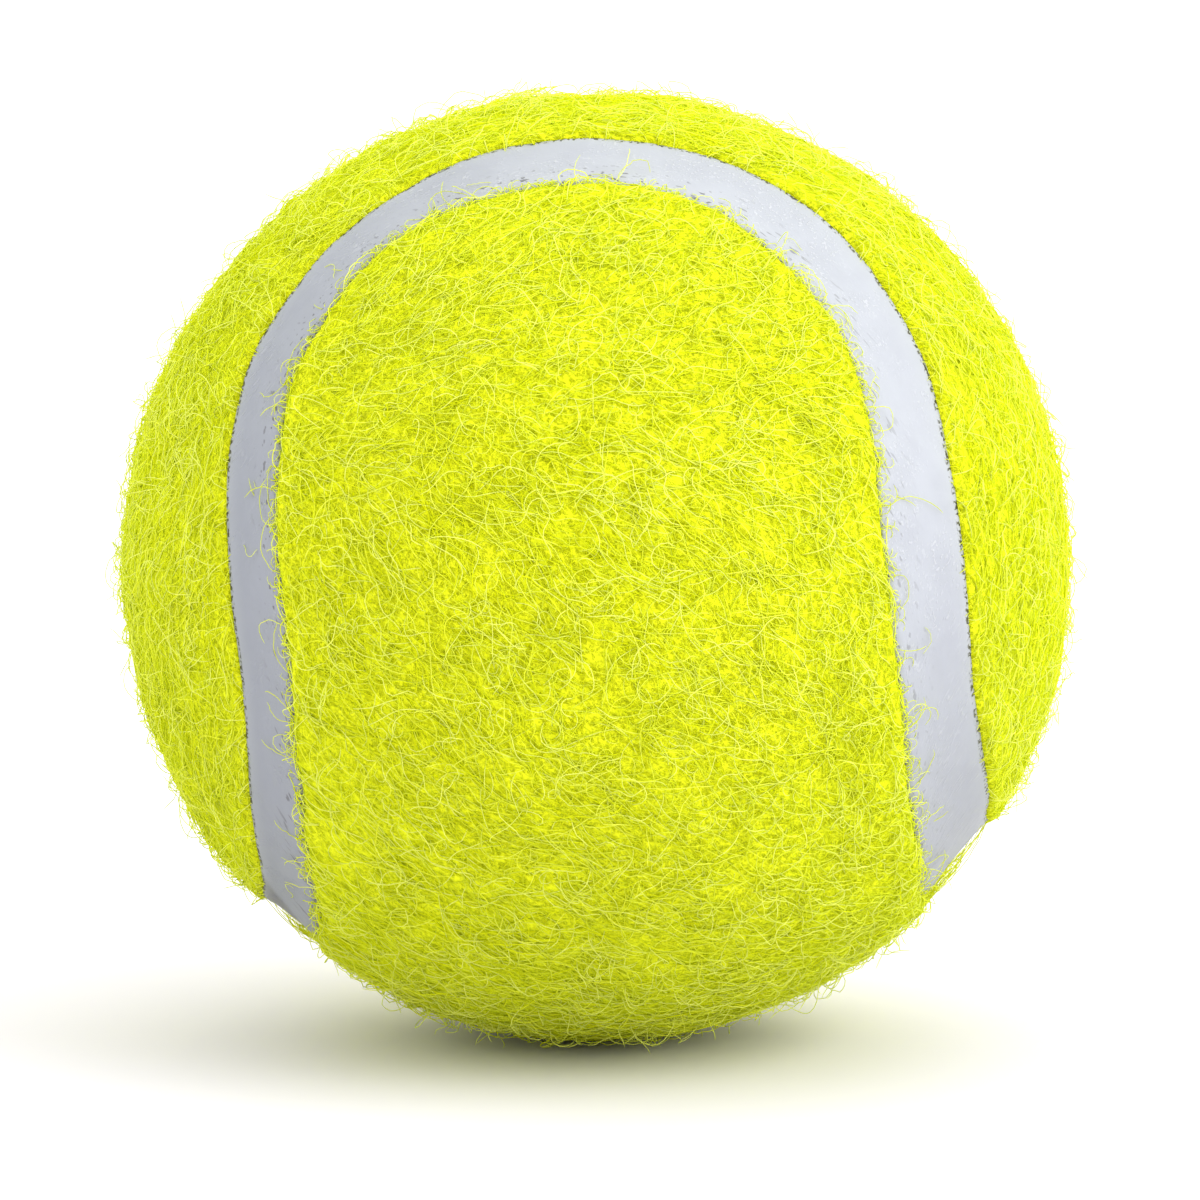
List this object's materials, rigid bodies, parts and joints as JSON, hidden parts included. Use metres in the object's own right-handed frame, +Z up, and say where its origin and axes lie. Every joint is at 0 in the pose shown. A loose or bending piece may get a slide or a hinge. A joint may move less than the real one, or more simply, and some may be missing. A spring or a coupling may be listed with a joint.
{
  "type": "tennis ball",
  "caption": "Hollow rubber ball covered by interlocking felt panels with a recessed rubber seam, for bouncing, hitting and throwing.",
  "frame": {"origin": "centre of the ball", "axes": "+Z up from the floor that the ball lies on, -Y towards the side with the arch of the seam, +X to the right seen from there"},
  "size_m": [0.067, 0.067, 0.067],
  "materials": {
    "core_rubber": "moulded matt",
    "cement": "dried film",
    "backing_cloth": "open weave",
    "felt": "brushed pile",
    "seam_rubber": "matt"
  },
  "bodies": {
    "root": {"upper_core_half": "core_rubber", "lower_core_half": "core_rubber", "core_joint": "cement", "cement_coat": "cement", "lower_base_cloth": "backing_cloth", "upper_base_cloth": "backing_cloth", "lower_felt_pile": "felt", "upper_felt_pile": "felt", "seam_strip": "seam_rubber"}
  },
  "joints": []
}
